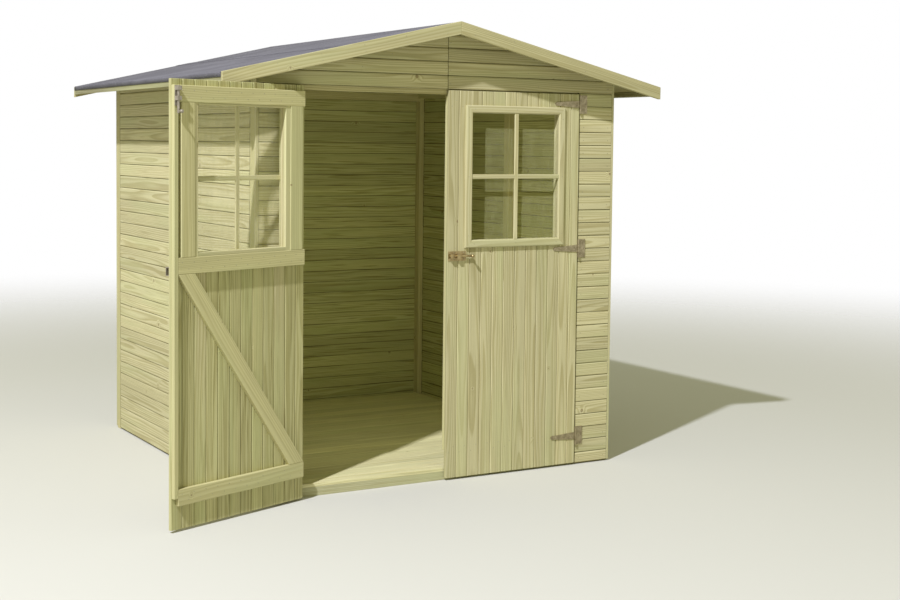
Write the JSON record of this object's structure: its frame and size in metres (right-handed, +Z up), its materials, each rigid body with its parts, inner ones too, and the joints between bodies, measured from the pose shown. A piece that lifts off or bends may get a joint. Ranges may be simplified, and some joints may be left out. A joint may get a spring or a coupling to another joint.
{
  "type": "garden tool shed",
  "caption": "Timber tool shed with a low gable roof, shiplap walls and a glazed double door that opens outwards.",
  "frame": {"origin": "on the ground at the middle of the wall plan, on the underside of the middle floor bearer", "axes": "+X to the right seen from the front, +Y from the door front to the back wall, +Z up"},
  "size_m": [2.4493, 2.2649, 2.014],
  "materials": {
    "siding": "pressure-treated pine, pale yellow-green, dull sheen",
    "framing": "pressure-treated pine, pale yellow-green, dull sheen",
    "roof_boards": "pressure-treated pine, pale yellow-green, dull sheen",
    "trim_timber": "pressure-treated pine, pale yellow-green, dull sheen",
    "door_timber": "pressure-treated pine, pale yellow-green, dull sheen",
    "floor_timber": "pressure-treated pine, pale yellow-green, dull sheen",
    "felt": "mineral roofing felt, grey, coarse and matt",
    "pane": "clear flat pane",
    "hinge_steel": "passivated steel, dull bronze, screwed on",
    "bolt_brass": "brassed steel, slightly dulled"
  },
  "bodies": {
    "shell": {"left_wall_boards": "siding", "right_wall_boards": "siding", "back_left_boards": "siding", "back_right_boards": "siding", "front_left_boards": "siding", "front_right_boards": "siding", "front_gable_left_boards": "siding", "front_gable_right_boards": "siding", "side_wall_studs": "framing", "side_wall_rails": "framing", "end_wall_studs": "framing", "end_wall_rails": "framing", "gable_rafters": "framing", "door_head_stop": "framing", "roof_purlins": "framing", "left_roof_deck": "roof_boards", "right_roof_deck": "roof_boards", "eaves_fascias": "trim_timber", "corner_strips": "trim_timber", "front_left_bargeboard": "trim_timber", "front_right_bargeboard": "trim_timber", "back_left_bargeboard": "trim_timber", "back_right_bargeboard": "trim_timber", "floor_boards": "floor_timber", "floor_bearers": "floor_timber", "floor_joists": "floor_timber", "left_roof_felt": "felt", "right_roof_felt": "felt", "hinge_plates": "hinge_steel"},
    "left_door": {"left_door_boards": "door_timber", "left_door_framing": "door_timber", "left_door_brace": "door_timber", "left_door_window_frame": "trim_timber", "left_door_glass": "pane", "left_door_hinge_straps": "hinge_steel", "left_door_bolt_fittings": "bolt_brass"},
    "right_door": {"right_door_boards": "door_timber", "right_door_framing": "door_timber", "right_door_brace": "door_timber", "right_door_window_frame": "trim_timber", "right_door_glass": "pane", "right_door_hinge_straps": "hinge_steel", "right_door_latch_guides": "bolt_brass"},
    "latch_bolt": {"latch_bolt": "bolt_brass"},
    "top_bolt": {"top_bolt": "bolt_brass"}
  },
  "joints": [
    {"name": "left_door_hinge", "type": "hinge", "parent": "shell", "child": "left_door", "pos_m": [-0.702, -0.929, 0], "axis": [0, 0, -1], "range_deg": [-160, 3]},
    {"name": "right_door_hinge", "type": "hinge", "parent": "shell", "child": "right_door", "pos_m": [0.702, -0.929, 0], "axis": [0, 0, 1], "range_deg": [0, 163]},
    {"name": "latch_slide", "type": "slide", "parent": "right_door", "child": "latch_bolt", "axis": [-1, 0, 0], "range_m": [0, 0.036]},
    {"name": "top_bolt_slide", "type": "slide", "parent": "left_door", "child": "top_bolt", "axis": [0, 0, 1], "range_m": [0, 0.024]}
  ]
}
